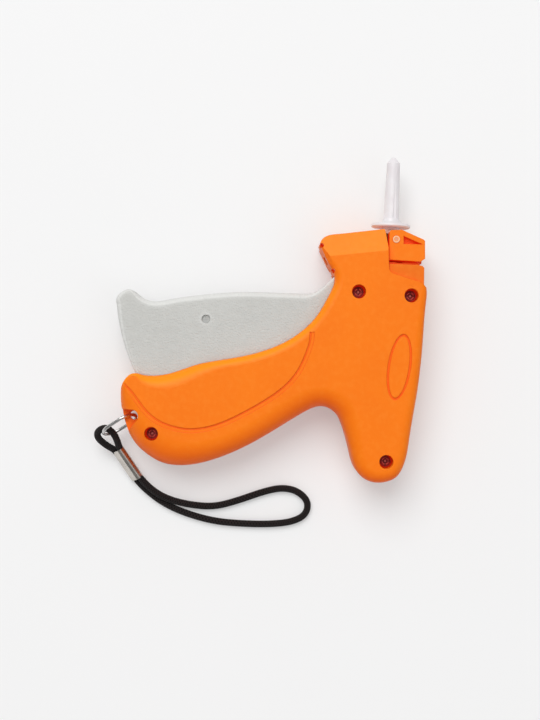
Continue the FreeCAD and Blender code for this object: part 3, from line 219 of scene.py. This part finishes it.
def plastic(name, colour, shade, pale, roughness, grain, depth, specular=0.3, edge_highlight=0.35, deep=None, glow=0.0,
            lit=None, shaded=None, shallow=None):
    """Moulded plastic: slight colour drift, fine grain, paler sharp edges as a painted highlight and a soft
    gloss.

    lit and shaded colour the slopes that face up and down the picture with painted light and shade, deep
    darkens the recesses with painted shade and a little painted glow that stands in for light passing through
    the plastic, and shallow paints shade into the grooves.
    """
    s = Shader(name)
    base = s.mix(s.ramp(s.noise(DRIFT_WAVES, 3.0), *DRIFT_RANGE), colour, shade)
    base = s.blend(s.ramp(s.noise(SPOT_WAVES), *SPOT_RANGE), SPOT_SHARE, base, pale)
    # Painted highlight: sharp edges mixed towards the pale colour
    base = s.blend(s.edge(HIGHLIGHT_EDGE), edge_highlight, base, pale)
    if lit is not None:
        across = s.facing()[1]
        base = s.blend(s.ramp(across, *LIT_RANGE), LIT_SHARE, base, lit)
        base = s.blend(s.ramp(across, *SHADED_RANGE), SHADED_SHARE, base, shaded)
    shine = 0.0
    if shallow is not None:
        # Painted shade in the grooves, with a little painted glow
        groove = s.hollow(GROOVE_SKY_RANGE)
        base = s.blend(groove, GROOVE_SHARE, base, shallow)
        shine = s.math("MULTIPLY", groove, GROOVE_GLOW_SHARE * glow)
    if deep is not None:
        # Painted shade in the recesses, and a painted glow in them
        recess = s.hollow(RECESS_SKY_RANGE)
        base = s.blend(recess, RECESS_SHARE, base, deep)
        shine = s.math("ADD", s.math("MULTIPLY", recess, glow), shine)
        s.set(Emission__Color=deep, Emission__Strength=shine)
    bevel = s.node("Bevel", samples=EDGE_SAMPLES, Radius=SOFT_EDGE)
    s.set(Base__Color=base, Normal=s.bump(s.noise(grain, 2.0, 0.6), depth, 1.0, bevel.outputs[0]))
    s.set(Roughness=s.ramp(s.noise(GLOSS_WAVES), *MIDDLE_RANGE, roughness * 0.9, min(1.0, roughness * 1.12)))
    s.set(Specular__IOR__Level=specular)
    return s


def metal(name, colour, roughness, grain=FINE_WAVES, depth=0.01 * MM, stretch=(1.0, 1.0, 1.0)):
    """Metal with fine drawn lines and a little tarnish."""
    s = Shader(name)
    mapping = s.node("Mapping", Vector=s.place(), Scale=stretch)
    lines = s.noise(grain, 3.0, 0.6, mapping.outputs[0])
    tarnish = tuple(part * TARNISH_SHARE for part in colour[:3]) + (1.0,)
    base = s.mix(s.ramp(s.noise(TARNISH_WAVES, 3.0), *TARNISH_RANGE), colour, tarnish)
    s.set(Base__Color=base, Metallic=1.0)
    s.set(Roughness=s.ramp(lines, *MIDDLE_RANGE, roughness * 0.75, min(1.0, roughness * 1.3)))
    s.set(Normal=s.bump(lines, depth, 0.7))
    return s.mat


def milky(name, colour, shade):
    """Pale plastic with faint specks, before any ring or glow."""
    s = Shader(name)
    base = s.mix(s.ramp(s.noise(SPECK_WAVES), *MIDDLE_RANGE), colour, shade)
    s.set(Base__Color=base, Roughness=0.35, Specular__IOR__Level=0.4)
    return s


# The tool's own materials

ORANGE_PALE = linear(255, 156, 52)
# lit and shaded paint light and shade on the slopes; deep paints shade and glow paints a glow into the recesses
ORANGE = dict(pale=ORANGE_PALE, roughness=0.46, grain=2600.0, depth=0.012 * MM, specular=0.2,
              deep=linear(214, 38, 6), glow=0.3, lit=linear(255, 148, 8), shaded=linear(255, 92, 6))


def casing_shader():
    """The orange of the shell and the latch."""
    return plastic("orange_plastic", linear(249, 123, 2), linear(247, 119, 1), edge_highlight=0.12,
                   shallow=linear(236, 88, 6), **ORANGE).mat


def block_shader():
    """The orange a little darker and duller as painted shade on the fixed block beside the clip slot, which
    sits below the shell's top.
    """
    return plastic("shaded_block_plastic", linear(238, 114, 8), linear(234, 110, 6), edge_highlight=0.3, **ORANGE).mat


def trigger_shader():
    """Grey, grained plastic with paler edges and slopes as a painted highlight, and a darker sunk mark."""
    s = plastic("grey_plastic", linear(200, 200, 196), linear(195, 195, 191), linear(222, 222, 219),
                roughness=0.6, grain=1300.0, depth=0.42 * MM, specular=0.4, edge_highlight=0.3, deep=linear(105, 102, 98))
    # Painted highlight: the steep slopes and broad rounded edges made paler
    slope_highlight = s.ramp(s.facing()[2], *STEEP_RANGE)
    slope_highlight = s.math("MAXIMUM", slope_highlight, s.edge(BROAD_EDGE, BROAD_EDGE_RANGE))
    s.set(Base__Color=s.blend(slope_highlight, STEEP_SHARE, s.base(), linear(226, 226, 223)))
    mark = s.disc(s.reach(MARK_PLACE), high=MARK_RADIUS - MARK_RIM, soft=MARK_SOFT)
    s.set(Base__Color=s.blend(mark, MARK_SHARE, s.base(), linear(176, 176, 173)))
    return s.mat


def dark_shader():
    """Dark plastic of the hidden lever, slide, wheel and pawl."""
    return plastic("dark_plastic", linear(40, 40, 43), linear(34, 34, 36), linear(80, 80, 84), roughness=0.5,
                   grain=2400.0, depth=0.02 * MM).mat


def rubber_shader():
    """Soft rubber of the slide's buffer."""
    return plastic("soft_rubber", linear(30, 30, 31), linear(25, 25, 26), linear(55, 55, 56), roughness=0.8,
                   grain=1800.0, depth=0.04 * MM, specular=0.2, edge_highlight=0.2).mat


def screw_shader():
    """Screw heads deep in red-lit recesses, coloured with painted light: a dark red head of painted shade and
    reflected orange, a paler ring and a pale middle as painted highlights.
    """
    s = Shader("screw_metal")
    near = s.reach(SCREW_PLACES[0])
    for place in SCREW_PLACES[1:]:
        near = s.math("MINIMUM", near, s.reach(place))
    # Painted shade and reflected orange: the dark red of the head
    base = s.mix(s.ramp(s.noise(SCREW_WAVES), *DRIFT_RANGE), linear(150, 26, 18), linear(128, 18, 12))
    # Painted highlights: a paler ring and a pale middle
    base = s.mix(s.band(near, low=1.15, high=1.45, soft=0.1), base, linear(214, 96, 88))
    base = s.mix(s.disc(near, high=0.45, soft=0.12), base, linear(226, 130, 122))
    s.set(Base__Color=base, Metallic=0.35, Roughness=0.34, Specular__IOR__Level=0.5)
    s.set(Normal=s.bump(s.noise(FINE_WAVES), 0.02 * MM, 0.5))
    return s.mat


def cap_shader():
    """Pale, slightly see-through cap plastic."""
    s = Shader("cap_plastic")
    cloud = s.ramp(s.noise(CLOUD_WAVES), *MIDDLE_RANGE)
    s.set(Base__Color=s.mix(cloud, linear(241, 239, 241), linear(233, 228, 231)))
    s.set(Roughness=s.ramp(s.noise(CAP_GLOSS_WAVES), *MIDDLE_RANGE, 0.28, 0.34))
    s.set(Transmission__Weight=0.18, IOR=1.46, Specular__IOR__Level=0.4)
    # Painted glow that lightens the cap's shaded sides
    s.set(Emission__Color=linear(250, 238, 236), Emission__Strength=0.05)
    s.set(Normal=s.bump(s.noise(GLOSS_WAVES), 0.006 * MM, 0.5))
    return s.mat


def hub_shader():
    """Milky plastic of the needle's holder."""
    s = milky("pale_hub_plastic", linear(246, 232, 226), linear(238, 216, 206))
    # Painted glow, pink-tinted, that lightens the holder in the shade under the cap's flange
    s.set(Emission__Color=linear(250, 196, 172), Emission__Strength=0.12)
    s.set(Normal=s.bump(s.noise(FINE_WAVES), 0.02 * MM, 0.5))
    return s.mat


def pin_shader():
    """The latch's pin: a pale raised ring round an orange-tinted middle."""
    s = milky("pale_pin_plastic", linear(250, 196, 152), linear(246, 186, 140))
    near = s.reach(PIN_PLACE)
    base = s.mix(s.disc(near, high=0.92, soft=0.1), s.base(), linear(243, 150, 88))
    base = s.mix(s.disc(near, high=0.38, soft=0.1), base, linear(222, 158, 140))
    s.set(Base__Color=base)
    s.set(Normal=s.bump(s.band(near, low=0.85, high=1.5, soft=0.12), 0.12 * MM, 0.8))
    return s.mat


WEAVES_ALONG = 250
WEAVES_AROUND = 5


def cord_shader():
    """Black braid: crossed strands along the cord, with a dull sheen."""
    s = Shader("braided_cord")
    parts = s.node("SeparateXYZ")
    s.feed(parts.inputs[0], s.node("TexCoord").outputs["UV"])
    along = s.math("MULTIPLY", parts.outputs[0], 2 * math.pi * WEAVES_ALONG)
    around = s.math("MULTIPLY", parts.outputs[1], 2 * math.pi * WEAVES_AROUND)
    one = s.math("SINE", s.math("ADD", along, around))
    other = s.math("SINE", s.math("SUBTRACT", along, around))
    weave = s.math("MAXIMUM", one, other)
    height = s.math("ADD", weave, s.math("MULTIPLY", s.noise(FIBRE_WAVES), FIBRE_SHARE))
    # Painted shade: the colour darkens into the gaps between strands
    base = s.mix(s.ramp(weave, 0.2, 1.0), linear(12, 9, 9), linear(46, 39, 38))
    s.set(Base__Color=base, Roughness=0.8, Specular__IOR__Level=0.2)
    s.set(Sheen__Weight=0.08, Sheen__Roughness=0.4)
    s.set(Normal=s.bump(height, 0.18 * MM))
    return s.mat


cord_mat = cord_shader()
casing_mat = casing_shader()
dark_mat = dark_shader()
steel_mat = metal("pin_metal", linear(178, 178, 180), 0.32)
bright_mat = metal("needle_metal", linear(205, 205, 207), 0.2, 1800.0, 0.006 * MM, (1.0, 0.05, 1.0))

NODES_OF_MATERIAL = [
    (casing_mat, ["left_casing", "right_casing", "needle_latch"]),
    (block_shader(), ["feed_block"]),
    (trigger_shader(), ["trigger"]),
    (dark_mat, ["drive_lever", "ejector_slide", "feed_wheel", "feed_pawl", "clip_exit_guide"]),
    (rubber_shader(), ["slide_buffer"]),
    (steel_mat, ["trigger_pivot_pin", "lever_pivot_pin", "lever_cam_pin", "slide_drive_pin", "ejector_rod",
                 "return_spring", "feed_wheel_shaft", "pawl_pivot_pin"]),
    (bright_mat, ["needle", "wheel_brake_spring", "cutter_blade"]),
    (screw_shader(), ["casing_screws"]),
    # The bracket's dark red-brown is painted shade and reflected orange in the gap between shell and latch
    (metal("bracket_metal", linear(116, 62, 46), 0.5), ["latch_bracket"]),
    (metal("brass_metal", linear(205, 170, 98), 0.3), ["rod_guide_bush"]),
    (metal("ring_metal", linear(226, 224, 222), 0.3), ["lanyard_ring"]),
    (metal("ferrule_metal", linear(214, 208, 200), 0.26, 1200.0, 0.02 * MM), ["strap_ferrule"]),
    (cap_shader(), ["needle_cap"]),
    (hub_shader(), ["needle_hub"]),
    (pin_shader(), ["latch_pin"]),
    (cord_mat, ["strap_cord"])]


def dress(obj, mat):
    """Puts one material on every slot of a solid."""
    for slot in obj.material_slots:
        slot.material = mat
    if not obj.material_slots:
        obj.data.materials.append(mat)


for mat, names in NODES_OF_MATERIAL:
    for name in names:
        dress(nodes[name], mat)

# The strap's cord: the same route as the CAD tube
CORD_ROUTE = [
    (-59.2, -65.7, 3.4), (-63.0, -60.4, 4.6), (-67.3, -58.2, 6.4), (-70.9, -55.0, 8.8), (-70.9, -52.1, 10.2),
    (-67.6, -50.2, 10.5), (-64.5, -52.1, 10.1), (-62.7, -55.2, 9.0), (-61.6, -59.3, 7.0),
    (-56.9, -65.5, 5.8), (-52.9, -71.2, 4.3), (-47.3, -76.5, 4.4), (-40.2, -80.2, 3.9), (-30.5, -82.4, 1.6),
    (-20.5, -82.7, 1.6), (-10.8, -79.7, 1.6), (0.8, -75.0, 1.6), (8.2, -73.2, 1.6), (14.8, -74.2, 1.6),
    (19.8, -78.6, 1.6), (18.9, -84.4, 1.6), (13.0, -87.7, 1.6), (3.6, -89.1, 1.6), (-8.2, -89.4, 1.6),
    (-20.4, -88.9, 1.6), (-32.8, -86.0, 1.6), (-42.2, -82.2, 1.6), (-50.0, -76.8, 1.6), (-54.8, -72.0, 2.0),
    (-58.1, -67.3, 3.0)]
CORD_DIAMETER = 2.9


def strap():
    """The braided strap as one smooth curve."""
    data = bpy.data.curves.new("strap_braid", "CURVE")
    data.dimensions = "3D"
    data.bevel_depth = CORD_DIAMETER / 2 * MM
    data.bevel_resolution = 6
    data.resolution_u = 10
    data.use_fill_caps = True
    line = data.splines.new("NURBS")
    line.points.add(len(CORD_ROUTE) - 1)
    for point, place in zip(line.points, CORD_ROUTE):
        point.co = (*[value * MM for value in place], 1.0)
    line.order_u = 3
    line.use_endpoint_u = True
    obj = bpy.data.objects.new("strap_braid", data)
    scene.collection.objects.link(obj)
    data.materials.append(cord_mat)
    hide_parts("strap_cord")
    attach(obj, "lanyard_body")


strap()

# Floor, light and camera, in metres
FLOOR_HALF = 3.0
FLOOR_ALBEDO = 0.62
FLOOR_DIP_SHARE = 0.99
FLOOR_WAVES = 6.0
FLOOR_GLOW = 0.275
WORLD_STRENGTH = 0.50
WORLD_MIRRORED_SHARE = 0.45
CAMERA_PLACE = (0.00053, -0.01878)
CAMERA_HEIGHT = 0.560
CAMERA_TURN = math.radians(2.6)
VIEW_TALL = 0.3024
REFERENCE_HEIGHT = 0.013
SENSOR_WIDTH = 36.0


def floor_shader():
    """White paper, with a glow that only the camera and mirrored rays see."""
    s = Shader("floor_paper")
    white = (FLOOR_ALBEDO,) * 3 + (1,)
    dip = (FLOOR_DIP_SHARE * FLOOR_ALBEDO,) * 3 + (1,)
    s.set(Base__Color=s.mix(s.ramp(s.noise(FLOOR_WAVES), *MIDDLE_RANGE), white, dip))
    s.set(Roughness=0.9, Specular__IOR__Level=0.0)
    rays = s.node("LightPath")
    seen = s.math("MAXIMUM", rays.outputs["Is Camera Ray"], rays.outputs["Is Transmission Ray"])
    seen = s.math("MAXIMUM", seen, rays.outputs["Is Glossy Ray"])
    s.set(Emission__Color=(1.0, 1.0, 1.0, 1.0), Emission__Strength=s.math("MULTIPLY", seen, FLOOR_GLOW))
    return s.mat


def make_floor():
    """A wide flat floor at z = 0."""
    corners = [(x * FLOOR_HALF, y * FLOOR_HALF, 0) for x, y in ((-1, -1), (1, -1), (1, 1), (-1, 1))]
    mesh = bpy.data.meshes.new("floor")
    mesh.from_pydata(corners, [], [(0, 1, 2, 3)])
    mesh.update()
    floor = bpy.data.objects.new("floor", mesh)
    scene.collection.objects.link(floor)
    mesh.materials.append(floor_shader())


def make_world():
    """Even white surroundings, dimmer where they are mirrored."""
    world = bpy.data.worlds.new("studio")
    scene.world = world
    world.use_nodes = True
    tree = world.node_tree
    background = tree.nodes["Background"]
    path = tree.nodes.new("ShaderNodeLightPath")
    strength = tree.nodes.new("ShaderNodeMapRange")
    tree.links.new(path.outputs["Is Glossy Ray"], strength.inputs[0])
    strength.inputs[3].default_value = WORLD_STRENGTH
    strength.inputs[4].default_value = WORLD_MIRRORED_SHARE * WORLD_STRENGTH
    tree.links.new(strength.outputs[0], background.inputs["Strength"])
    background.inputs["Color"].default_value = (1.0, 1.0, 1.0, 1.0)


def area_light(name, place, size, power):
    """A round lamp that shines at the tool's middle."""
    data = bpy.data.lights.new(name, "AREA")
    data.shape = "DISK"
    data.size = size
    data.energy = power
    obj = bpy.data.objects.new(name, data)
    obj.location = place
    obj.rotation_mode = "QUATERNION"
    obj.rotation_quaternion = (-Vector(place)).to_track_quat("-Z", "Y")
    scene.collection.objects.link(obj)


def make_camera():
    """Looks straight down, as the photograph does, with its frame VIEW_TALL high at mid-height."""
    data = bpy.data.cameras.new("camera")
    data.sensor_width = SENSOR_WIDTH
    data.sensor_fit = "AUTO"
    data.lens = SENSOR_WIDTH * (CAMERA_HEIGHT - REFERENCE_HEIGHT) / VIEW_TALL
    data.clip_start = 0.01
    data.clip_end = 10.0
    camera = bpy.data.objects.new("camera", data)
    camera.location = (*CAMERA_PLACE, CAMERA_HEIGHT)
    camera.rotation_euler = (0.0, 0.0, CAMERA_TURN)
    scene.collection.objects.link(camera)
    scene.camera = camera


make_floor()
make_world()
area_light("key", (-0.62, 1.60, 2.60), size=2.4, power=65.5)
area_light("fill", (1.3, -0.6, 1.6), size=1.6, power=3.0)
make_camera()
scene.view_settings.view_transform = "Standard"
scene.view_settings.look = "None"
